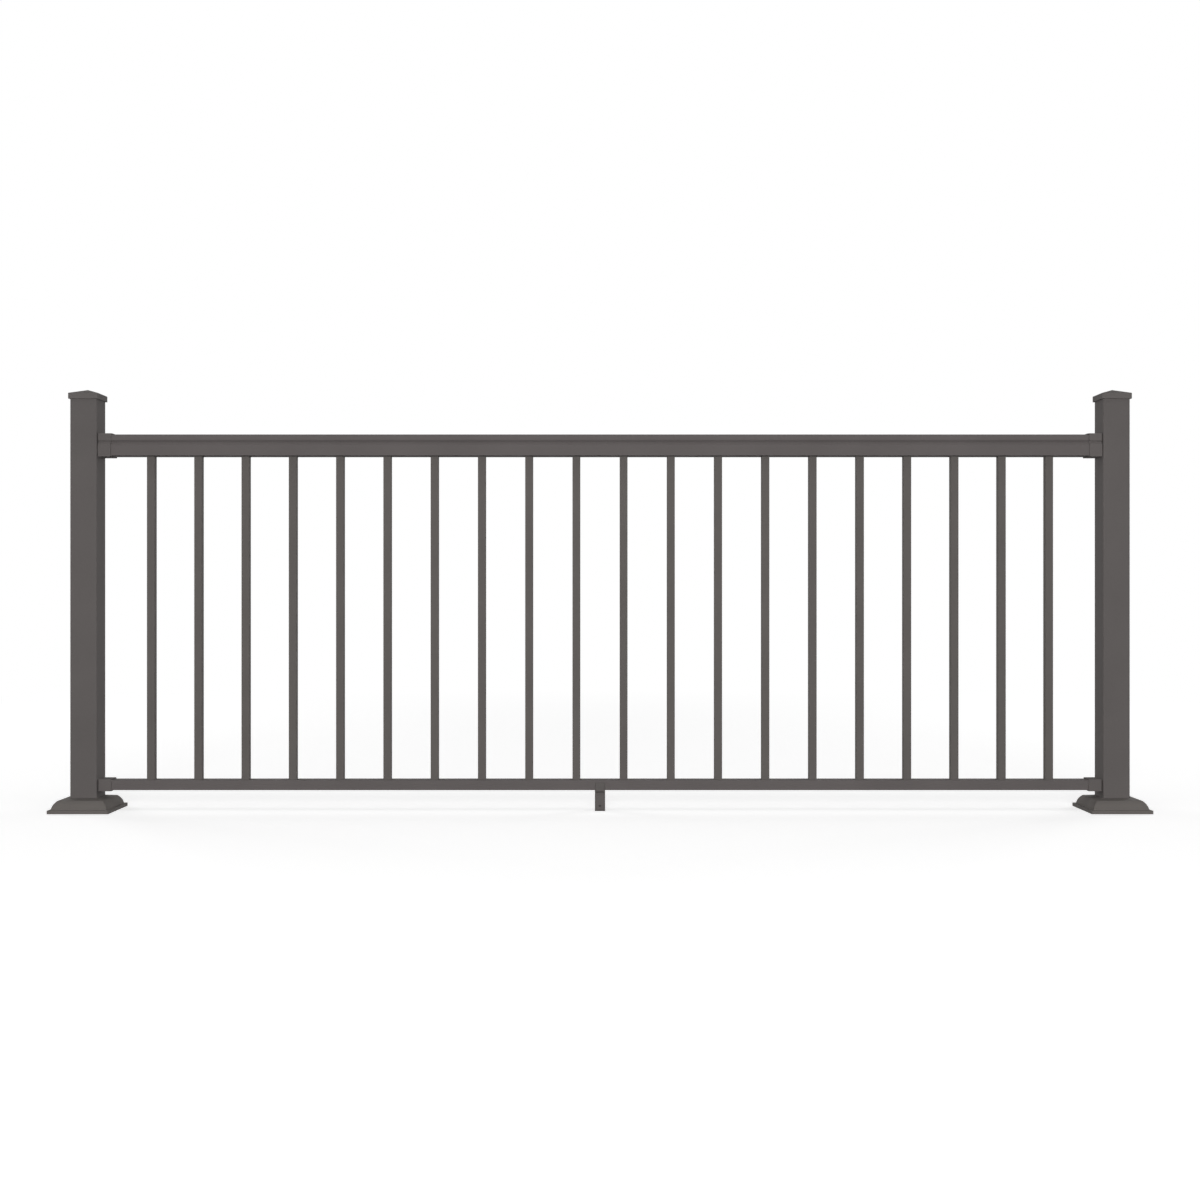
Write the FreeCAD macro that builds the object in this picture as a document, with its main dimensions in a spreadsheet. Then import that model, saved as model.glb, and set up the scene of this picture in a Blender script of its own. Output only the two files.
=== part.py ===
import FreeCAD, Part
import os
import re
import Sketcher

# Deck railing section of powder-coated aluminium: two capped posts with base trims, and
# between them a profiled top rail, a bottom rail and twenty square balusters. The balusters
# stand in punched channels and hang on the bosses of interlocking strips. Cup brackets carry
# both rails on the posts, and a foot holds the bottom rail up at mid span.
# Millimetres. X runs along the rails, the front looks towards -Y and Z is up. The origin is
# the centre of the left post's foot.

doc = FreeCAD.newDocument("DeckRailing")
sizes = doc.addObject("Spreadsheet::Sheet", "Sizes")
places = doc.addObject("Spreadsheet::Sheet", "Places")
sheet_of = {}
subparts = []


def bound(formula):
    """The formula with each named value pointing at its sheet."""
    return re.sub(r"[a-z]+(?:_[a-z]+)+", lambda word: sheet_of[word.group()] + "." + word.group(), formula)


def write_cell(sheet, alias, content):
    """Write one named cell on the next free row of a sheet."""
    row = 1 + list(sheet_of.values()).count(sheet.Name)
    sheet.set("A%d" % row, alias)
    sheet.set("B%d" % row, content)
    sheet.setAlias("B%d" % row, alias)
    sheet_of[alias] = sheet.Name


def place(alias, formula):
    """A size or a position that follows from the driving dimensions."""
    write_cell(places, alias, "=" + bound(formula))


def value(formula):
    """The number that a formula gives."""
    return float(places.evalExpression(bound(formula)))


driving_sizes = {
    # Posts and their caps
    "post_width": 65,
    "post_wall": 2.5,
    "post_height": 1016,
    "post_corner": 3,
    "cap_side_wall": 3.2,
    "cap_skirt": 14,
    "cap_rise": 11.6,
    "cap_wall": 2.4,
    "fit_clearance": 0.3,
    # Base trims
    "trim_wall": 2.5,
    "trim_edge": 8.5,
    "trim_ledge": 7,
    "trim_bead": 1.5,
    "trim_shoulder_run": 12.5,
    "trim_shoulder_rise": 20,
    "trim_bulge": 2.2,
    "trim_neck_run": 21.7,
    "trim_neck_rise": 3.5,
    # Top rail
    "post_reveal": 96.1,
    "rail_length": 2438,
    "rail_end_gap": 2,
    "rail_wall": 2,
    "rail_web_margin": 1.5,
    "rail_slope_rise": 7.8,
    "rail_undercut_rise": 4.6,
    "rail_head_thickness": 14.3,
    "rail_waist_inset": 6,
    "rail_head_inset": 2.5,
    "rail_crown": 1,
    "rail_head_round": 4,
    "rail_edge_round": 0.8,
    "rib_depth": 2.7,
    "rib_thickness": 2,
    "rib_margin": 3,
    # Channel section of the bottom rail and of its twin inside the top rail
    "channel_wall": 1.8,
    "channel_headroom": 5.2,
    "channel_round": 1,
    "ground_gap": 50.8,
    # Balusters
    "baluster_width": 19,
    "baluster_wall": 1.3,
    "baluster_edge": 1,
    "baluster_hole_end": 8,
    "baluster_end_space": 119.85,
    # Strips that each tie a few balusters
    "strip_count": 4,
    "strip_balusters": 5,
    "strip_height": 17.5,
    "strip_thickness": 2,
    "strip_room": 1.9,
    "strip_lead": 56.2,
    "strip_overlap": 24.5,
    "strip_start_flat": 1.5,
    "strip_end_flat": 6.5,
    "joggle_margin": 9.5,
    "joggle_run": 4,
    "peg_diameter": 7.8,
    "peg_length": 3.5,
    "pilot_diameter": 3.4,
    "pilot_gap": 0.4,
    "slot_width": 4.6,
    "slot_height": 9.7,
    "slot_from_start": 23,
    "slot_from_end": 26,
    "rivet_diameter": 7,
    "rivet_from_end": 7.6,
    "rivet_spacing": 8.9,
    # Brackets
    "bracket_wall": 2.5,
    "bracket_depth": 31,
    "bracket_screw": 5,
    # Support foot
    "foot_length": 25,
    "foot_wall": 2.6,
    "foot_floor": 2,
    "foot_saddle": 20.6,
    "foot_waist_inset": 5,
    "foot_undercut": 4.7,
    "foot_slope": 8.1,
    "foot_toe_inset": 1.2,
    "foot_toe_height": 5,
    "foot_corner": 3,
    "foot_screw": 4,
    "foot_screw_height": 13,
}
for alias, number in driving_sizes.items():
    write_cell(sizes, alias, str(number))

# Sizes that fit one piece to another
place("post_half", "post_width / 2")
place("post_room", "post_half + fit_clearance")
place("cap_half", "post_room + cap_side_wall")
place("cap_ceiling", "cap_skirt - cap_wall")
place("trim_neck", "post_room + trim_neck_run")
place("trim_shoulder", "trim_neck + trim_shoulder_run")
place("trim_half", "trim_shoulder + trim_ledge")
place("trim_shoulder_foot", "trim_edge + trim_bead")
place("trim_neck_foot", "trim_shoulder_foot + trim_shoulder_rise")
place("trim_height", "trim_neck_foot + trim_neck_rise")
place("punched_half", "baluster_width / 2 + fit_clearance")
place("channel_half", "punched_half + 2 * strip_thickness + strip_room + channel_wall")
place("channel_room", "channel_half + fit_clearance")
place("channel_height", "channel_wall + strip_height + channel_headroom")
place("rail_inner_half", "channel_room + rib_depth")
place("rail_body_half", "rail_inner_half + rail_wall")
place("rail_waist_half", "rail_body_half - rail_waist_inset")
place("rail_head_half", "rail_body_half - rail_head_inset")
place("rail_body_height", "channel_height + rail_web_margin")
place("rail_waist_height", "rail_body_height + rail_slope_rise")
place("rail_head_height", "rail_waist_height + rail_undercut_rise")
place("rail_height", "rail_head_height + rail_head_thickness")
place("peg_hole", "peg_diameter + 2 * fit_clearance")
place("pilot_offset", "(peg_diameter + pilot_diameter) / 2 + pilot_gap")
place("baluster_count", "strip_count * strip_balusters")
place("baluster_pitch", "(rail_length - 2 * baluster_end_space) / (baluster_count - 1)")
place("strip_pitch", "baluster_pitch * strip_balusters")
place("strip_length", "strip_pitch + strip_overlap")
place("strip_start_round", "(strip_height - strip_start_flat) / 2")
place("strip_end_cut", "(strip_height - strip_end_flat) / 2")
place("joggle_end", "strip_pitch - joggle_margin")
place("joggle_start", "joggle_end - joggle_run")
place("foot_half", "channel_room + foot_wall")
place("foot_waist_half", "foot_half - foot_waist_inset")
place("foot_underside", "ground_gap - foot_floor")
place("foot_waist_height", "foot_underside - foot_undercut")
place("foot_shoulder", "foot_waist_height - foot_slope")
place("foot_top", "foot_underside + foot_saddle")

# Where the pieces stand
place("post_spacing", "rail_length + 2 * (bracket_wall + rail_end_gap) + post_width")
place("rail_start", "post_half + bracket_wall + rail_end_gap")
place("top_rail_bottom", "post_height - post_reveal - rail_height")
place("bottom_rail_top", "ground_gap + channel_height")
place("baluster_tuck", "channel_wall + strip_height / 2 + baluster_hole_end")
place("baluster_bottom", "bottom_rail_top - baluster_tuck")
place("baluster_length", "top_rail_bottom + baluster_tuck - baluster_bottom")
doc.recompute()


def new_body(name):
    """A body in which one shape is modelled, about its own origin."""
    return doc.addObject("PartDesign::Body", name)


def put(label, shape, x="0", y="0", z="0", turn=FreeCAD.Rotation()):
    """Stand a modelled shape at its place, as one piece of the railing."""
    piece = doc.addObject("PartDesign::Body", label)
    piece.Label = label
    piece.BaseFeature = shape
    piece.Placement = FreeCAD.Placement(FreeCAD.Vector(), turn)
    piece.setExpression(".Placement.Base.x", bound(x))
    piece.setExpression(".Placement.Base.y", bound(y))
    piece.setExpression(".Placement.Base.z", bound(z))
    subparts.append(piece)


def origin_feature(body, role):
    """The plane or axis of a body's origin that has this role."""
    return [item for item in body.Origin.OriginFeatures if item.Role == role][0]


def new_sketch(body, name, plane):
    """A sketch on one of the body's origin planes."""
    sketch = body.newObject("Sketcher::SketchObject", name)
    sketch.AttachmentSupport = [(origin_feature(body, plane + "_Plane"), "")]
    sketch.MapMode = "FlatFace"
    return sketch


def dimension(sketch, kind, references, formula):
    """Add a dimension to a sketch and bind it to its formula."""
    index = sketch.addConstraint(Sketcher.Constraint(kind, *references, value(formula)))
    sketch.setExpression("Constraints[%d]" % index, bound(formula))


def draw_outline(sketch, corners):
    """Draw a closed outline anticlockwise. A corner is a pair of formulas, and a third one
    is the height of the arc that leads to the next corner."""
    first = sketch.GeometryCount
    points = [FreeCAD.Vector(value(corner[0]), value(corner[1]), 0) for corner in corners]
    for index, corner in enumerate(corners):
        start = points[index]
        end = points[index + 1 - len(points)]
        if len(corner) == 3:
            outwards = FreeCAD.Vector(end.y - start.y, start.x - end.x, 0).normalize()
            crest = (start + end) / 2 + outwards * value(corner[2])
            sketch.addGeometry(Part.Arc(start, crest, end))
        else:
            sketch.addGeometry(Part.LineSegment(start, end))
    for index, corner in enumerate(corners):
        line = first + index
        following = first + (index + 1) % len(corners)
        sketch.addConstraint(Sketcher.Constraint("Coincident", line, 2, following, 1))
        dimension(sketch, "DistanceX", (line, 1), corner[0])
        dimension(sketch, "DistanceY", (line, 1), corner[1])
        if len(corner) == 3:
            after = corners[index + 1 - len(corners)]
            chord = "((%s) - (%s))^2 + ((%s) - (%s))^2" % (after[0], corner[0], after[1], corner[1])
            dimension(sketch, "Radius", (line,), "(%s) / (8 * %s) + %s / 2" % (chord, corner[2], corner[2]))


def repeat(body, feature, pitch, count):
    """Repeat a feature along the body's X axis."""
    row = body.newObject("PartDesign::LinearPattern", "row")
    row.Originals = [feature]
    row.Direction = (origin_feature(body, "X_Axis"), [""])
    row.setExpression("Length", bound("(%s) * (%s - 1)" % (pitch, count)))
    row.setExpression("Occurrences", bound(count))
    body.Tip = row
    return row


def rectangle(left, low, right, high):
    """The corners of a rectangle."""
    return [(left, low), (right, low), (right, high), (left, high)]


def square(half):
    """The corners of a square about the origin."""
    return rectangle("-" + half, "-" + half, half, half)


def few_sided(x, z, diameter, sides=12):
    """The corners of a small round peg or hole that repeats, drawn with few sides."""
    return [("%s + %s / 2 * cos(%g)" % (x, diameter, step * 360 / sides),
             "%s + %s / 2 * sin(%g)" % (z, diameter, step * 360 / sides)) for step in range(sides)]


def both_sides(half, apex=None):
    """Complete an outline from its right half, which runs from the bottom to the top."""
    corners = list(half)
    if apex is not None:
        corners.append(("0", apex))
    for index in reversed(range(len(half))):
        mirrored = ("-(" + half[index][0] + ")", half[index][1])
        arc_before = half[index - 1][2:] if index > 0 else ()
        corners.append(mirrored + arc_before)
    return corners


def pad(body, name, sketch, length, sides="One side", backwards=False):
    """Add material along a sketch's normal."""
    feature = body.newObject("PartDesign::Pad", name)
    feature.Profile = sketch
    feature.SideType = sides
    feature.Reversed = backwards
    feature.setExpression("Length", bound(length))
    return feature


def pocket(body, name, sketch, length, sides="One side", backwards=False):
    """Cut against a sketch's normal."""
    feature = body.newObject("PartDesign::Pocket", name)
    feature.Profile = sketch
    feature.SideType = sides
    feature.Reversed = backwards
    feature.setExpression("Length", bound(length))
    return feature


def faces_at(feature, wanted):
    """Names of the flat faces on these planes, each an axis and a formula."""
    names = []
    for number, face in enumerate(feature.Shape.Faces, start=1):
        box = face.BoundBox
        for axis, formula in wanted:
            low = getattr(box, axis + "Min")
            high = getattr(box, axis + "Max")
            if abs(low - value(formula)) < 0.001 and abs(high - value(formula)) < 0.001:
                names.append("Face%d" % number)
    return names


def edges_at(feature, axis, spots):
    """Names of the straight edges that run along an axis through these points of the section."""
    names = []
    across = [name for name in "XYZ" if name != axis]
    for number, edge in enumerate(feature.Shape.Edges, start=1):
        box = edge.BoundBox
        for spot in spots:
            misses = [abs(getattr(box, name + end) - value(formula))
                      for name, formula in zip(across, spot) for end in ("Min", "Max")]
            if max(misses) < 0.001:
                names.append("Edge%d" % number)
    return names


def hollow_out(body, feature, wanted, wall, outwards=False):
    """Turn a solid feature into a shell that is open at these planes."""
    doc.recompute([feature])
    shell = body.newObject("PartDesign::Thickness", "shell")
    shell.Base = (feature, faces_at(feature, wanted))
    shell.Mode = "Skin"
    shell.Join = "Intersection"
    shell.Reversed = not outwards
    shell.setExpression("Value", bound(wall))
    return shell


def soften(body, feature, axis, spots, radius):
    """Round the edges that run along an axis."""
    doc.recompute([feature])
    fillet = body.newObject("PartDesign::Fillet", "rounding")
    fillet.Base = (feature, edges_at(feature, axis, spots))
    fillet.setExpression("Radius", bound(radius))
    return fillet


def bevel(body, feature, axis, spots, setback):
    """Cut the edges that run along an axis at 45 degrees."""
    doc.recompute([feature])
    chamfer = body.newObject("PartDesign::Chamfer", "bevel")
    chamfer.Base = (feature, edges_at(feature, axis, spots))
    chamfer.setExpression("Size", bound(setback))
    return chamfer


def mirrored_spots(spots):
    """The points of a section and their twins on the other side."""
    return spots + [("-(" + spot[0] + ")", spot[1]) for spot in spots]


def square_tube(name, half, wall, length):
    """A square tube that stands on the XY plane, and the corners of its section."""
    body = new_body(name)
    section = new_sketch(body, "section", "XY")
    draw_outline(section, square(half))
    draw_outline(section, square("(%s - %s)" % (half, wall)))
    tube = pad(body, "tube", section, length)
    return body, tube, mirrored_spots([(half, half), (half, "-" + half)])


def crossed_prisms(name, corners, length):
    """The mitred solid that two crossed prisms of the same section have in common."""
    to_front = FreeCAD.Rotation(FreeCAD.Vector(1, 0, 0), 90)
    to_side = FreeCAD.Rotation(FreeCAD.Vector(0, 0, 1), 90).multiply(to_front)
    prisms = []
    for view, turn in (("front", to_front), ("side", to_side)):
        sketch = doc.addObject("Sketcher::SketchObject", name + "_" + view)
        draw_outline(sketch, corners)
        sketch.Placement = FreeCAD.Placement(FreeCAD.Vector(), turn)
        prism = doc.addObject("Part::Extrusion", name + "_" + view + "_prism")
        prism.Base = sketch
        prism.DirMode = "Normal"
        prism.Solid = True
        prism.Symmetric = True
        prism.setExpression("LengthFwd", bound(length))
        prisms.append(prism)
    common = doc.addObject("Part::MultiCommon", name)
    common.Shapes = prisms
    return common


def cut(name, base, tool):
    """One solid less another."""
    result = doc.addObject("Part::Cut", name)
    result.Base = base
    result.Tool = tool
    return result


def make_post():
    """A square post, cut plain at its foot."""
    body, tube, corners = square_tube("post", "post_half", "post_wall", "post_height")
    soften(body, tube, "Z", corners, "post_corner")
    return body


def make_cap():
    """A pyramid cap whose skirt goes over the post and whose ceiling rests on it."""
    outside = [("cap_half", "0"), ("cap_half", "cap_skirt")]
    inside = [("post_room", "-cap_wall"), ("post_room", "cap_ceiling"),
              ("post_half - post_wall", "cap_ceiling")]
    solid = crossed_prisms("cap_outside", both_sides(outside, "cap_skirt + cap_rise"), "2 * cap_half")
    space = crossed_prisms("cap_inside", both_sides(inside, "cap_ceiling + cap_rise"), "2 * cap_half")
    return cut("cap", solid, space)


def make_base_trim():
    """A skirt that slides down the post: a flange, a bead, a rounded shoulder and a neck."""
    outside = [("trim_half", "0"), ("trim_half", "trim_edge"), ("trim_shoulder", "trim_edge"),
               ("trim_shoulder", "trim_shoulder_foot", "trim_bulge"),
               ("trim_neck", "trim_neck_foot"), ("post_room", "trim_height")]
    inside = [("trim_half - trim_wall", "-trim_wall"), ("trim_half - trim_wall", "trim_edge - trim_wall"),
              ("trim_shoulder - trim_wall", "trim_edge - trim_wall"),
              ("trim_shoulder - trim_wall", "trim_shoulder_foot - trim_wall / 2", "trim_bulge"),
              ("trim_neck - trim_wall", "trim_neck_foot - trim_wall"),
              ("post_room", "trim_height - trim_wall")]
    solid = crossed_prisms("trim_outside", both_sides(outside), "2 * trim_half")
    space = crossed_prisms("trim_inside", both_sides(inside), "2 * trim_half")
    hole = doc.addObject("Part::Box", "trim_post_hole")
    hole.setExpression("Length", bound("2 * post_room"))
    hole.setExpression("Width", bound("2 * post_room"))
    hole.setExpression("Height", bound("2 * trim_height"))
    hole.setExpression(".Placement.Base.x", bound("-post_room"))
    hole.setExpression(".Placement.Base.y", bound("-post_room"))
    return cut("trim", cut("trim_shell", solid, space), hole)


def rail_profile(room):
    """The top rail's outline, with this much room on its sides and top."""
    half = [("rail_body_half + " + room, "0"),
            ("rail_body_half + " + room, "rail_body_height"),
            ("rail_waist_half + " + room, "rail_waist_height"),
            ("rail_head_half + " + room, "rail_head_height"),
            ("rail_head_half + " + room, "rail_height - rail_crown + " + room, "rail_crown")]
    return both_sides(half)


def make_top_rail():
    """The hand rail: a hollow waisted head over an open body that takes the sub rail."""
    body = new_body("hand_rail")
    section = new_sketch(body, "section", "YZ")
    draw_outline(section, rail_profile("0"))
    bar = pad(body, "bar", section, "rail_length")
    hollow_out(body, bar, [("X", "0"), ("X", "rail_length"), ("Z", "0")], "rail_wall")
    inside = new_sketch(body, "web_and_ribs", "YZ")
    reach = "(rail_inner_half + rail_wall / 2)"
    draw_outline(inside, rectangle("-" + reach, "channel_height",
                                   reach, "channel_height + rail_wall"))
    for low in ("rib_margin", "channel_height - rib_margin - rib_thickness"):
        high = low + " + rib_thickness"
        draw_outline(inside, rectangle("channel_room", low, reach, high))
        draw_outline(inside, rectangle("-" + reach, low, "-channel_room", high))
    web = pad(body, "web", inside, "rail_length")
    brow = mirrored_spots([("rail_head_half", "rail_height - rail_crown")])
    head = soften(body, web, "X", brow, "rail_head_round")
    edges = [("rail_body_half", "0"), ("rail_body_half", "rail_body_height"),
             ("rail_head_half", "rail_head_height")]
    soften(body, head, "X", mirrored_spots(edges), "rail_edge_round")
    return body


def make_channel():
    """A channel whose web is punched for the balusters."""
    body = new_body("channel")
    section = new_sketch(body, "section", "YZ")
    draw_outline(section, rectangle("-channel_half", "0", "channel_half", "channel_height"))
    bar = pad(body, "bar", section, "rail_length")
    ends_and_top = [("X", "0"), ("X", "rail_length"), ("Z", "channel_height")]
    shell = hollow_out(body, bar, ends_and_top, "channel_wall")
    soften(body, shell, "X", mirrored_spots([("channel_half", "0")]), "channel_round")
    punch = new_sketch(body, "punch", "XY")
    draw_outline(punch, rectangle("baluster_end_space - punched_half", "-punched_half",
                                  "baluster_end_space + punched_half", "punched_half"))
    hole = pocket(body, "hole", punch, "channel_wall", backwards=True)
    repeat(body, hole, "baluster_pitch", "baluster_count")
    return body


def make_baluster():
    """A square baluster with a hole for a peg near each end of its front."""
    body, tube, corners = square_tube("baluster", "baluster_width / 2", "baluster_wall", "baluster_length")
    bevel(body, tube, "Z", corners, "baluster_edge")
    drilling = new_sketch(body, "drilling", "XZ")
    for height in ("baluster_hole_end", "baluster_length - baluster_hole_end"):
        draw_outline(drilling, few_sided("0", height, "peg_hole"))
    pocket(body, "peg_holes", drilling, "baluster_width / 2", backwards=True)
    return body


def make_strip():
    """A strip with a peg for each baluster. Its far end steps forward over the next strip."""
    body = new_body("strip")
    section = new_sketch(body, "section", "XY")
    draw_outline(section, [
        ("0", "0"), ("0", "-strip_thickness"), ("joggle_start", "-strip_thickness"),
        ("joggle_end", "-2 * strip_thickness"), ("strip_length", "-2 * strip_thickness"),
        ("strip_length", "-strip_thickness"), ("joggle_end", "-strip_thickness"), ("joggle_start", "0")])
    band = pad(body, "band", section, "strip_height")
    tip = soften(body, band, "Y", [("0", "0"), ("0", "strip_height")], "strip_start_round")
    bevel(body, tip, "Y", [("strip_length", "0"), ("strip_length", "strip_height")], "strip_end_cut")
    middle = "strip_height / 2"
    slots = new_sketch(body, "slots", "XZ")
    for centre in ("slot_from_start", "strip_length - slot_from_end"):
        draw_outline(slots, rectangle(centre + " - slot_width / 2", middle + " - slot_height / 2",
                                      centre + " + slot_width / 2", middle + " + slot_height / 2"))
    pocket(body, "slot_holes", slots, "2 * strip_thickness", backwards=True)
    pegs = new_sketch(body, "pegs", "XZ")
    draw_outline(pegs, few_sided("strip_lead", middle, "peg_diameter"))
    peg = pad(body, "peg", pegs, "peg_length", backwards=True)
    repeat(body, peg, "baluster_pitch", "strip_balusters")
    pilots = new_sketch(body, "pilots", "XZ")
    for side in ("- pilot_offset", "+ pilot_offset"):
        draw_outline(pilots, few_sided("strip_lead " + side, middle, "pilot_diameter", sides=8))
    pilot = pocket(body, "pilot_holes", pilots, "strip_thickness", backwards=True)
    repeat(body, pilot, "baluster_pitch", "strip_balusters")
    rivets = new_sketch(body, "rivets", "XZ")
    for gap in ("", " - rivet_spacing"):
        draw_outline(rivets, few_sided("strip_length - rivet_from_end" + gap, middle, "rivet_diameter"))
    pocket(body, "rivet_holes", rivets, "2 * strip_thickness", backwards=True)
    return body


def make_bracket(name, corners, height):
    """A cup of a rail's own outline that is screwed to the post through its back."""
    body = new_body(name)
    section = new_sketch(body, "section", "YZ")
    draw_outline(section, corners)
    core = pad(body, "core", section, "bracket_depth - bracket_wall")
    hollow_out(body, core, [("X", "bracket_depth - bracket_wall")], "bracket_wall", outwards=True)
    drilling = new_sketch(body, "drilling", "YZ")
    for level in (height + " / 4", height + " * 3 / 4"):
        draw_outline(drilling, few_sided("0", level, "bracket_screw"))
    pocket(body, "screw_holes", drilling, "bracket_wall")
    return body


def make_support_foot():
    """A foot that holds the bottom rail in a saddle, hollow from below."""
    body = new_body("foot")
    plan = new_sketch(body, "plan", "XY")
    draw_outline(plan, rectangle("-foot_length / 2", "-foot_half", "foot_length / 2", "foot_half"))
    block = pad(body, "block", plan, "foot_top")
    corners = mirrored_spots([("foot_length / 2", "foot_half"), ("foot_length / 2", "-foot_half")])
    soften(body, block, "Z", corners, "foot_corner")
    sides = new_sketch(body, "saddle_waist_and_toes", "YZ")
    draw_outline(sides, rectangle("-channel_room", "ground_gap", "channel_room", "foot_top"))
    for sign in ("", "-"):
        draw_outline(sides, [(sign + "foot_waist_half", "foot_waist_height"),
                             (sign + "foot_half", "foot_shoulder"),
                             (sign + "foot_half", "foot_underside")])
        draw_outline(sides, [(sign + "foot_half", "0"), (sign + "foot_half", "foot_toe_height"),
                             (sign + "(foot_half - foot_toe_inset)", "0")])
    pocket(body, "saddle_and_waist", sides, "foot_length", sides="Symmetric")
    inside = new_sketch(body, "inside", "YZ")
    draw_outline(inside, both_sides([
        ("foot_half - foot_wall", "0"), ("foot_half - foot_wall", "foot_shoulder"),
        ("foot_waist_half - foot_wall", "foot_waist_height"),
        ("foot_waist_half - foot_wall", "foot_underside")]))
    pocket(body, "cavity", inside, "foot_length - 2 * foot_wall", sides="Symmetric")
    drilling = new_sketch(body, "drilling", "XZ")
    draw_outline(drilling, few_sided("0", "foot_screw_height", "foot_screw"))
    pocket(body, "screw_holes", drilling, "2 * foot_half", sides="Symmetric")
    return body


turned_over = FreeCAD.Rotation(FreeCAD.Vector(1, 0, 0), 180)
facing_back = FreeCAD.Rotation(FreeCAD.Vector(0, 0, 1), 180)

post = make_post()
cap = make_cap()
base_trim = make_base_trim()
for side, x in (("left", "0"), ("right", "post_spacing")):
    put(side + "_post", post, x)
    put(side + "_post_cap", cap, x, z="post_height - cap_ceiling")
    put(side + "_base_trim", base_trim, x)

put("top_rail", make_top_rail(), "rail_start", z="top_rail_bottom")
channel = make_channel()
put("sub_rail", channel, "rail_start", z="top_rail_bottom")
put("bottom_rail", channel, "rail_start", z="bottom_rail_top", turn=turned_over)

baluster = make_baluster()
for index in range(int(value("baluster_count"))):
    x = "rail_start + baluster_end_space + baluster_pitch * %d" % index
    put("baluster_%02d" % (index + 1), baluster, x, z="baluster_bottom")

strip = make_strip()
for index in range(int(value("strip_count"))):
    x = "rail_start + baluster_end_space - strip_lead + strip_pitch * %d" % index
    put("upper_strip_%d" % (index + 1), strip, x, "-punched_half", "top_rail_bottom + channel_wall")
    put("lower_strip_%d" % (index + 1), strip, x, "-punched_half",
        "bottom_rail_top - channel_wall - strip_height")

top_bracket = make_bracket("top_bracket", rail_profile("fit_clearance"), "rail_height")
channel_cup = rectangle("-channel_room", "0", "channel_room", "channel_height + fit_clearance")
bottom_bracket = make_bracket("bottom_bracket", channel_cup, "channel_height")
for side, x, turn in (("left", "post_half + bracket_wall", FreeCAD.Rotation()),
                      ("right", "post_spacing - post_half - bracket_wall", facing_back)):
    put(side + "_top_bracket", top_bracket, x, z="top_rail_bottom", turn=turn)
    put(side + "_bottom_bracket", bottom_bracket, x, z="ground_gap", turn=turn)
put("support_foot", make_support_foot(), "post_spacing / 2")
doc.recompute()

for item in doc.Objects:
    if "Invalid" in item.State or "Error" in item.State:
        raise RuntimeError("feature failed: " + item.Name)
for piece in subparts:
    if piece.Shape.isNull() or not piece.Shape.isValid() or len(piece.Shape.Solids) != 1:
        raise RuntimeError("bad solid: " + piece.Label)

os.makedirs("parts", exist_ok=True)
for piece in subparts:
    piece.Shape.exportStep(os.path.join("parts", piece.Label + ".step"))
    print(piece.Label, round(piece.Shape.Volume), piece.Shape.BoundBox)
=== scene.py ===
import math

import bmesh
import bpy
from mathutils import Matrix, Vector


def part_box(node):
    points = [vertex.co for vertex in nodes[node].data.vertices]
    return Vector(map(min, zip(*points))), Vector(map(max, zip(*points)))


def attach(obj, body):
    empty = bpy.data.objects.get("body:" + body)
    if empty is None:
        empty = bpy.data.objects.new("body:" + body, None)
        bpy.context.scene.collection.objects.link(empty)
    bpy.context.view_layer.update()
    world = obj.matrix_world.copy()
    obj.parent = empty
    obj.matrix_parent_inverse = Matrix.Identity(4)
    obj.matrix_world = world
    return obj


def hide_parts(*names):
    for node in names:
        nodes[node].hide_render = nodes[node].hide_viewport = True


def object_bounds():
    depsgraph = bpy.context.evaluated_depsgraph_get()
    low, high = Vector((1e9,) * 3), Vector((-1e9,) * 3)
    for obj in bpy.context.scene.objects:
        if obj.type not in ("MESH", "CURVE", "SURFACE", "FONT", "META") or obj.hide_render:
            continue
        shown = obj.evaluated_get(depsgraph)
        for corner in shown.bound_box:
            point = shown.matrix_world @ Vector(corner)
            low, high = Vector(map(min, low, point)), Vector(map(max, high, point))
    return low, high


# Deck railing section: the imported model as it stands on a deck, with its dark bronze powder
# coat, the softened edges of its cast and moulded pieces and the smooth pegs of its strips.
# Metres.

MM = 0.001
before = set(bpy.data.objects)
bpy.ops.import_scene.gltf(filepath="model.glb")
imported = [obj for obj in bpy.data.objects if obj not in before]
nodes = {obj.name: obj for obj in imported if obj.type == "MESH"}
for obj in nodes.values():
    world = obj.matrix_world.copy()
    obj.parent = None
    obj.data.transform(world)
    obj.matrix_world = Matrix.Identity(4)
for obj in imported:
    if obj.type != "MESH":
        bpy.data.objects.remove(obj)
cad_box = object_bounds()
middle = (Vector(cad_box[0]) + Vector(cad_box[1])) / 2


# Names of the nodes

def numbered(stem, count):
    """Node names that end in a number."""
    return [stem % (number + 1) for number in range(count)]


POSTS = ["left_post", "right_post"]
CAPS = ["left_post_cap", "right_post_cap"]
TRIMS = ["left_base_trim", "right_base_trim"]
RAILS = ["top_rail", "sub_rail", "bottom_rail"]
BRACKETS = ["left_top_bracket", "right_top_bracket", "left_bottom_bracket", "right_bottom_bracket"]
BALUSTERS = numbered("baluster_%02d", 20)
STRIPS = numbered("upper_strip_%d", 4) + numbered("lower_strip_%d", 4)
FOOT = "support_foot"


# Node trees

def add_node(tree, kind, inputs=None, **settings):
    """Add a node, set its properties and then the inputs, by value or by link."""
    node = tree.nodes.new(kind)
    for name, setting in settings.items():
        setattr(node, name, setting)
    for name, given in (inputs or {}).items():
        if isinstance(given, bpy.types.NodeSocket):
            tree.links.new(given, node.inputs[name])
        else:
            node.inputs[name].default_value = given
    return node


def value_node(tree, operation, first, second=0.0):
    """One step of arithmetic in a node tree."""
    return add_node(tree, "ShaderNodeMath", {0: first, 1: second}, operation=operation).outputs[0]


# Finishes

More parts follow.
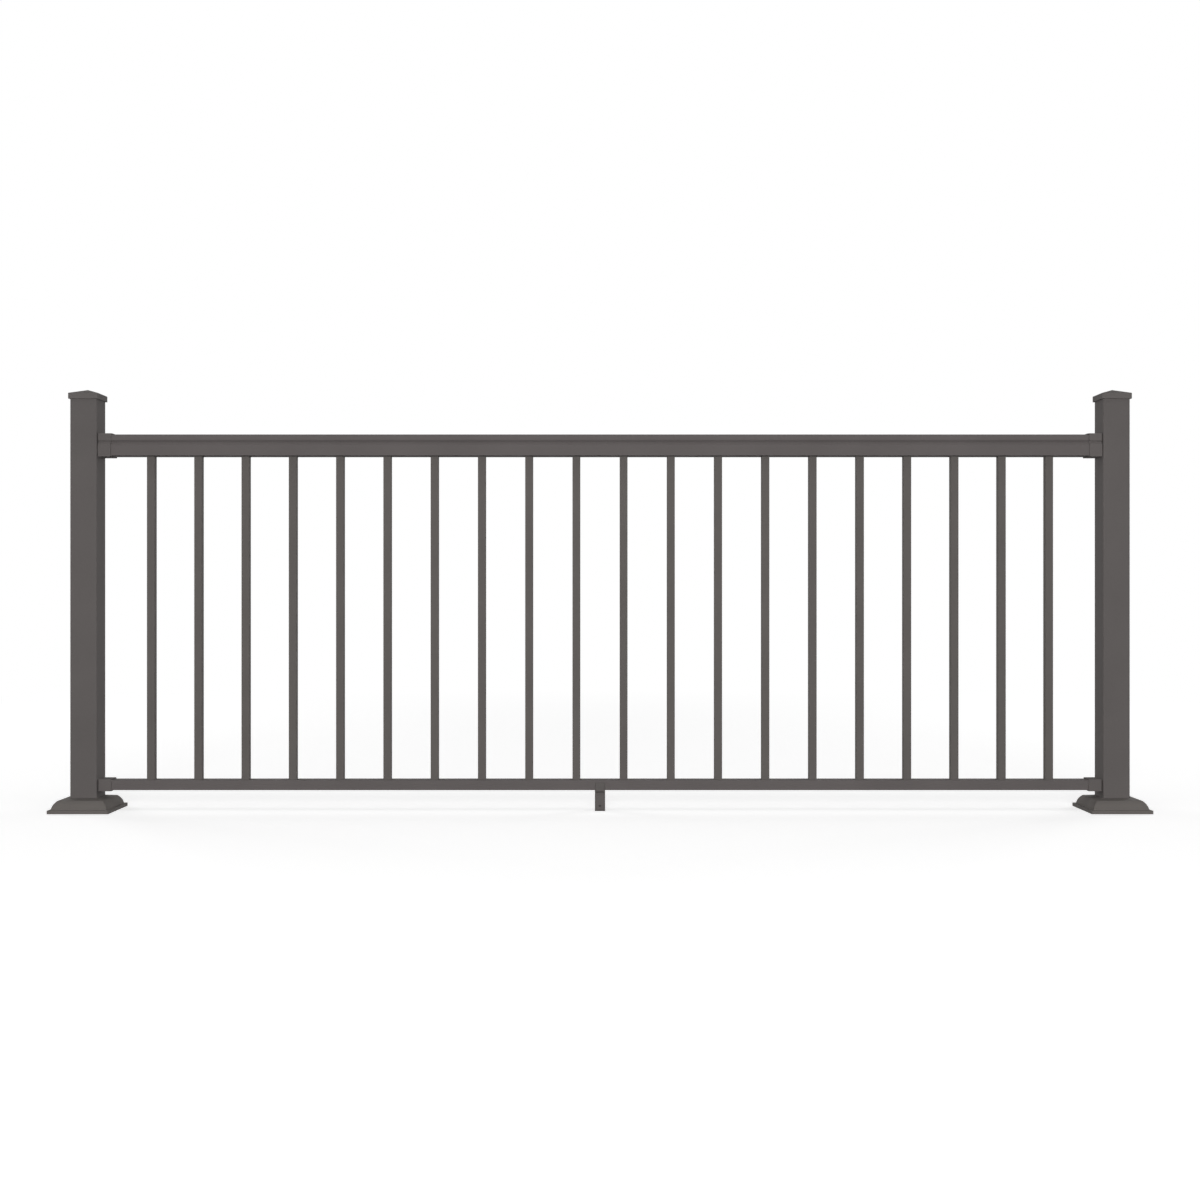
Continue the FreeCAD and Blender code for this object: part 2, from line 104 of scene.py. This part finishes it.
WHITE = (1.0, 1.0, 1.0)
WAVES = {"size": 2.6 * MM, "detail": 1.0}
SPECKS = {"size": 0.8 * MM, "detail": 2.0}
DRIFTS = {"size": 140 * MM, "detail": 3.0}
NOISE_MIDDLE = 0.5
NOISE_SPREAD = 0.18
DRIFT_TONE = 0.04
SPECK_TONE = 0.07
SPECULAR = 0.12
COAT = {"least_rough": 0.7, "most_rough": 0.8, "peel_depth": 0.04 * MM, "speck_depth": 0.032 * MM}
CAST = {"least_rough": 0.72, "most_rough": 0.82, "peel_depth": 0.04 * MM, "speck_depth": 0.04 * MM}
MOULDED = {"least_rough": 0.76, "most_rough": 0.88, "peel_depth": 0.02 * MM,
           "speck_depth": 0.035 * MM}


def grain(tree, place, size, detail):
    """Noise with lumps of about this size in metres."""
    noise = add_node(tree, "ShaderNodeTexNoise", {"Vector": place, "Scale": 1 / size, "Detail": detail})
    return noise.outputs["Fac"]


def between(tree, amount, low, high):
    """Turn noise into a number that varies from low to high."""
    ranged = add_node(tree, "ShaderNodeMapRange", {
        "Value": amount, "From Min": NOISE_MIDDLE - NOISE_SPREAD,
        "From Max": NOISE_MIDDLE + NOISE_SPREAD, "To Min": low, "To Max": high})
    return ranged.outputs["Result"]


def tinted(colour, factor):
    """A colour made lighter or darker."""
    return tuple(channel * factor for channel in colour) + (1.0,)


def varied(tree, amount, colour, share):
    """A colour that noise makes darker and lighter by this share of it."""
    mix = add_node(tree, "ShaderNodeMix", {
        "Factor": between(tree, amount, 0.0, 1.0), "A": tinted(colour, 1 - share),
        "B": tinted(colour, 1 + share)}, data_type="RGBA")
    return mix.outputs["Result"]


def coated(name, colour, least_rough, most_rough, peel_depth, speck_depth):
    """A coat over metal or a moulded skin: soft waves, fine specks, an uneven sheen and
    slight drifts of tone."""
    material = bpy.data.materials.new(name)
    material.use_nodes = True
    tree = material.node_tree
    tree.nodes.clear()
    place = add_node(tree, "ShaderNodeTexCoord").outputs["Object"]
    waves = grain(tree, place, **WAVES)
    specks = grain(tree, place, **SPECKS)
    drifts = grain(tree, place, **DRIFTS)
    coat_colour = add_node(tree, "ShaderNodeMix", {
        "Factor": 1.0, "A": varied(tree, drifts, colour, DRIFT_TONE),
        "B": varied(tree, specks, WHITE, SPECK_TONE)}, data_type="RGBA", blend_type="MULTIPLY")
    peel = add_node(tree, "ShaderNodeBump", {"Height": waves, "Distance": peel_depth, "Strength": 1.0})
    texture = add_node(tree, "ShaderNodeBump", {
        "Height": specks, "Distance": speck_depth, "Strength": 1.0, "Normal": peel.outputs["Normal"]})
    surface = add_node(tree, "ShaderNodeBsdfPrincipled", {
        "Base Color": coat_colour.outputs["Result"],
        "Roughness": between(tree, specks, least_rough, most_rough),
        "Specular IOR Level": SPECULAR,
        "Normal": texture.outputs["Normal"]})
    add_node(tree, "ShaderNodeOutputMaterial", {"Surface": surface.outputs["BSDF"]})
    return material


finishes = {
    "post_coat": coated("post_powder_coat", (0.116, 0.106, 0.103), **COAT),
    "cap_coat": coated("cap_powder_coat", (0.127, 0.117, 0.113), **CAST),
    "trim_coat": coated("trim_powder_coat", (0.134, 0.123, 0.115), **CAST),
    "rail_coat": coated("rail_powder_coat", (0.119, 0.107, 0.105), **COAT),
    "baluster_coat": coated("baluster_powder_coat", (0.116, 0.106, 0.100), **COAT),
    "bracket_coat": coated("bracket_powder_coat", (0.119, 0.108, 0.105), **CAST),
    "strip_plastic": coated("strip_moulded_plastic", (0.105, 0.095, 0.093), **MOULDED),
    "foot_plastic": coated("foot_moulded_plastic", (0.112, 0.103, 0.099), **MOULDED),
}
finished_nodes = {
    "post_coat": POSTS,
    "cap_coat": CAPS,
    "trim_coat": TRIMS,
    "rail_coat": RAILS,
    "baluster_coat": BALUSTERS,
    "bracket_coat": BRACKETS,
    "strip_plastic": STRIPS,
    "foot_plastic": [FOOT],
}
for slot_name, names in finished_nodes.items():
    for name in names:
        for slot in nodes[name].material_slots:
            slot.material = finishes[slot_name]


# Softened edges

MERGE_GAP = 0.005 * MM
FLAT_ANGLE = math.radians(0.5)
SHALLOW_CREASE = math.radians(20)
CREASE = math.radians(28)
ROUND_STEPS = 3
CAST_RADIUS = 0.6 * MM
SMALL_RADIUS = 0.5 * MM


def plain_mesh(piece):
    """Turn what a piece's modifiers make into its mesh, and remove them."""
    seen = piece.evaluated_get(bpy.context.evaluated_depsgraph_get())
    piece.data = bpy.data.meshes.new_from_object(seen)
    piece.modifiers.clear()


def soften_edges(name, slot_name, radius, crease):
    """Replace a sharp-edged node by the same shape, rounded where its faces meet at more than
    the crease angle, with the shading of its large faces kept flat."""
    mesh = nodes[name].data.copy()
    mesh.name = name + "_softened"
    shape = bmesh.new()
    shape.from_mesh(mesh)
    bmesh.ops.remove_doubles(shape, verts=shape.verts, dist=MERGE_GAP)
    bmesh.ops.dissolve_limit(shape, angle_limit=FLAT_ANGLE, verts=shape.verts, edges=shape.edges)
    shape.to_mesh(mesh)
    shape.free()
    mesh.materials.clear()
    mesh.materials.append(finishes[slot_name])
    mesh.shade_smooth()
    piece = bpy.data.objects.new(name + "_softened", mesh)
    bpy.context.scene.collection.objects.link(piece)
    rounding = piece.modifiers.new("rounding", "BEVEL")
    rounding.width = radius
    rounding.segments = ROUND_STEPS
    rounding.limit_method = "ANGLE"
    rounding.angle_limit = crease
    piece.modifiers.new("flat_faces", "WEIGHTED_NORMAL")
    plain_mesh(piece)
    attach(piece, "root")
    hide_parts(name)


for name in CAPS:
    soften_edges(name, "cap_coat", CAST_RADIUS, SHALLOW_CREASE)
for name in TRIMS:
    soften_edges(name, "trim_coat", CAST_RADIUS, SHALLOW_CREASE)
for name in BRACKETS:
    soften_edges(name, "bracket_coat", SMALL_RADIUS, CREASE)
soften_edges(FOOT, "foot_plastic", SMALL_RADIUS, CREASE)


# Pegs

PEG_SIDES = 32
TIP_STEPS = 5
PEG_RADIUS = 3.95 * MM
PEG_TIP_ROUND = 0.8 * MM
PEG_LENGTH = 4.3 * MM
STRIP_GAP = 0.3 * MM


def centre(name):
    """The middle of a node's box."""
    low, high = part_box(name)
    return (low + high) / 2


def peg_row_tree():
    """A node tree that sets smooth round pegs in a row, each with a rounded tip. The first
    station of a peg's spine is at its strip, and the tip rounds from the second to the last."""
    tree = bpy.data.node_groups.new("peg_row", "GeometryNodeTree")
    tree.interface.new_socket("Geometry", in_out="OUTPUT", socket_type="NodeSocketGeometry")
    for label, kind in (("Pegs", "NodeSocketInt"), ("Pitch", "NodeSocketFloat"),
                        ("First Peg", "NodeSocketVector"), ("Radius", "NodeSocketFloat"),
                        ("Length", "NodeSocketFloat"), ("Tip Round", "NodeSocketFloat"),
                        ("Finish", "NodeSocketMaterial")):
        tree.interface.new_socket(label, in_out="INPUT", socket_type=kind)
    given = add_node(tree, "NodeGroupInput").outputs

    stations = add_node(tree, "GeometryNodeMeshLine", {"Count": TIP_STEPS + 2})
    station = add_node(tree, "GeometryNodeInputIndex").outputs[0]
    round_step = value_node(tree, "MAXIMUM", value_node(tree, "SUBTRACT", station, 1.0), 0.0)
    angle = value_node(tree, "MULTIPLY", round_step, math.pi / 2 / TIP_STEPS)
    straight = value_node(tree, "SUBTRACT", given["Length"], given["Tip Round"])
    along = value_node(tree, "ADD", straight, value_node(
        tree, "MULTIPLY", given["Tip Round"], value_node(tree, "SINE", angle)))
    along = value_node(tree, "MULTIPLY", along, value_node(tree, "GREATER_THAN", station, 0.5))
    flat_tip = value_node(tree, "SUBTRACT", given["Radius"], given["Tip Round"])
    radius = value_node(tree, "ADD", flat_tip, value_node(
        tree, "MULTIPLY", given["Tip Round"], value_node(tree, "COSINE", angle)))
    spine = add_node(tree, "GeometryNodeSetPosition", {
        "Geometry": stations.outputs["Mesh"],
        "Position": add_node(tree, "ShaderNodeCombineXYZ", {"Y": along}).outputs[0]})
    spine = add_node(tree, "GeometryNodeMeshToCurve", {"Mesh": spine.outputs["Geometry"]})
    circle = add_node(tree, "GeometryNodeCurvePrimitiveCircle", {"Resolution": PEG_SIDES, "Radius": 1.0})
    peg = add_node(tree, "GeometryNodeCurveToMesh", {
        "Curve": spine.outputs["Curve"], "Profile Curve": circle.outputs["Curve"],
        "Scale": radius, "Fill Caps": True})

    row = add_node(tree, "GeometryNodeMeshLine", {
        "Count": given["Pegs"], "Start Location": given["First Peg"],
        "Offset": add_node(tree, "ShaderNodeCombineXYZ", {"X": given["Pitch"]}).outputs[0]})
    pegs = add_node(tree, "GeometryNodeInstanceOnPoints", {
        "Points": row.outputs["Mesh"], "Instance": peg.outputs["Mesh"]})
    solid = add_node(tree, "GeometryNodeRealizeInstances", {"Geometry": pegs.outputs["Instances"]})
    finished = add_node(tree, "GeometryNodeSetMaterial", {
        "Geometry": solid.outputs["Geometry"], "Material": given["Finish"]})
    add_node(tree, "NodeGroupOutput", {"Geometry": finished.outputs["Geometry"]})
    return tree


def set_pegs(name, tree, first, pitch):
    """One row of pegs, one for each baluster, from the place of the first."""
    piece = bpy.data.objects.new(name, bpy.data.meshes.new(name))
    bpy.context.scene.collection.objects.link(piece)
    row = piece.modifiers.new("row", "NODES")
    row.node_group = tree
    wanted = {"Pegs": len(BALUSTERS), "Pitch": pitch, "First Peg": first,
              "Radius": PEG_RADIUS, "Length": PEG_LENGTH, "Tip Round": PEG_TIP_ROUND,
              "Finish": finishes["strip_plastic"]}
    for item in tree.interface.items_tree:
        if item.item_type == "SOCKET" and item.in_out == "INPUT":
            row[item.identifier] = wanted[item.name]
    bpy.context.view_layer.update()
    plain_mesh(piece)
    piece.data.shade_smooth()
    piece.data.set_sharp_from_angle(angle=CREASE)
    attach(piece, "root")


first_x = centre(BALUSTERS[0]).x
baluster_pitch = (centre(BALUSTERS[-1]).x - first_x) / (len(BALUSTERS) - 1)
strip_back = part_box(BALUSTERS[0])[0].y - STRIP_GAP
peg_row = peg_row_tree()
set_pegs("upper_pegs", peg_row, (first_x, strip_back, centre("upper_strip_1").z), baluster_pitch)
set_pegs("lower_pegs", peg_row, (first_x, strip_back, centre("lower_strip_1").z), baluster_pitch)


# Floor and sky

FLOOR_HALF = 30.0
SHADOW_REACH = 1.8
PLAIN_WHITE_FROM = 5.0
PAPER = tinted(WHITE, 0.8)
PAPER_GLOW = 0.6
UNLIT_SHARE = 0.8
SKY_LIGHT = 0.15


def seen_directly(tree):
    """One for a ray from the camera, from a reflection or through glass, nought for light
    that falls on things."""
    path = add_node(tree, "ShaderNodeLightPath").outputs
    seen = value_node(tree, "MAXIMUM", path["Is Camera Ray"], path["Is Glossy Ray"])
    return value_node(tree, "MAXIMUM", seen, path["Is Transmission Ray"])


def pale_floor():
    """Paper with a faint glow, which keeps the railing's shadow, and plain white further off.
    Light that isn't seen directly meets a darker floor, so little comes back from below."""
    material = bpy.data.materials.new("pale_floor")
    material.use_nodes = True
    tree = material.node_tree
    tree.nodes.clear()
    place = add_node(tree, "ShaderNodeTexCoord").outputs["Object"]
    offset = add_node(tree, "ShaderNodeVectorMath", {
        0: place, 1: (middle.x, 0.0, 0.0)}, operation="SUBTRACT")
    away = add_node(tree, "ShaderNodeVectorMath", {0: offset.outputs["Vector"]}, operation="LENGTH")
    seen = seen_directly(tree)
    nearest = add_node(tree, "ShaderNodeMapRange", {
        "Value": seen, "To Min": UNLIT_SHARE, "To Max": 0.0})
    whiteness = add_node(tree, "ShaderNodeMapRange", {
        "Value": away.outputs["Value"], "From Min": SHADOW_REACH, "From Max": PLAIN_WHITE_FROM,
        "To Min": nearest.outputs["Result"], "To Max": 1.0}, interpolation_type="SMOOTHSTEP")
    paper = add_node(tree, "ShaderNodeBsdfDiffuse", {"Color": PAPER})
    glow = add_node(tree, "ShaderNodeEmission", {
        "Color": tinted(WHITE, 1.0), "Strength": value_node(tree, "MULTIPLY", seen, PAPER_GLOW)})
    lit_paper = add_node(tree, "ShaderNodeAddShader", {0: paper.outputs[0], 1: glow.outputs[0]})
    white = add_node(tree, "ShaderNodeEmission", {"Color": tinted(WHITE, 1.0), "Strength": seen})
    blend = add_node(tree, "ShaderNodeMixShader", {
        0: whiteness.outputs["Result"], 1: lit_paper.outputs[0], 2: white.outputs[0]})
    add_node(tree, "ShaderNodeOutputMaterial", {"Surface": blend.outputs[0]})
    return material


floor_mesh = bpy.data.meshes.new("floor")
floor_mesh.from_pydata(
    [(middle.x + across * FLOOR_HALF, deep * FLOOR_HALF, 0)
     for across, deep in ((-1, -1), (1, -1), (1, 1), (-1, 1))],
    [], [(0, 1, 2, 3)])
floor_mesh.materials.append(pale_floor())
floor = bpy.data.objects.new("floor", floor_mesh)
bpy.context.scene.collection.objects.link(floor)

world = bpy.data.worlds.new("studio")
bpy.context.scene.world = world
world.use_nodes = True
world.node_tree.nodes.clear()
sky_strength = add_node(world.node_tree, "ShaderNodeMapRange", {
    "Value": seen_directly(world.node_tree), "To Min": SKY_LIGHT, "To Max": 1.0})
sky = add_node(world.node_tree, "ShaderNodeBackground", {
    "Color": tinted(WHITE, 1.0), "Strength": sky_strength.outputs["Result"]})
add_node(world.node_tree, "ShaderNodeOutputWorld", {"Surface": sky.outputs[0]})


# Lamps

LAMPS = {
    "front_lamp": {"place": (0.0, -7.0, 0.9), "size": 3.0, "power": 505},
    "high_lamp": {"place": (0.0, -1.7, 6.7), "size": 2.4, "power": 50},
    "left_lamp": {"place": (-5.5, 4.0, 1.2), "size": 2.5, "power": 175},
    "right_lamp": {"place": (5.5, 4.0, 1.2), "size": 2.5, "power": 175},
}


def soft_lamp(name, place, size, power):
    """A square lamp that faces the middle of the railing. Its place is measured from the floor
    below that middle."""
    across, deep, up = place
    spot = (middle.x + across, deep, up)
    lamp = bpy.data.lights.new(name, "AREA")
    lamp.shape = "SQUARE"
    lamp.size = size
    lamp.energy = power
    holder = bpy.data.objects.new(name, lamp)
    holder.location = spot
    holder.rotation_euler = (middle - Vector(spot)).to_track_quat("-Z", "Y").to_euler()
    bpy.context.scene.collection.objects.link(holder)


for name, setting in LAMPS.items():
    soft_lamp(name, **setting)


# Camera

VIEW_ANGLE = math.radians(44)
FRAME_FILL = 1107 / 1200
LEVEL = math.radians(90)
width = cad_box[1][0] - cad_box[0][0]
distance = width / FRAME_FILL / (2 * math.tan(VIEW_ANGLE / 2))
camera_data = bpy.data.cameras.new("camera")
camera_data.sensor_fit = "HORIZONTAL"
camera_data.angle = VIEW_ANGLE
camera = bpy.data.objects.new("camera", camera_data)
camera.location = (middle.x, cad_box[0][1] - distance, middle.z)
camera.rotation_euler = (LEVEL, 0, 0)
bpy.context.scene.collection.objects.link(camera)
bpy.context.scene.camera = camera
bpy.context.scene.view_settings.view_transform = "Standard"
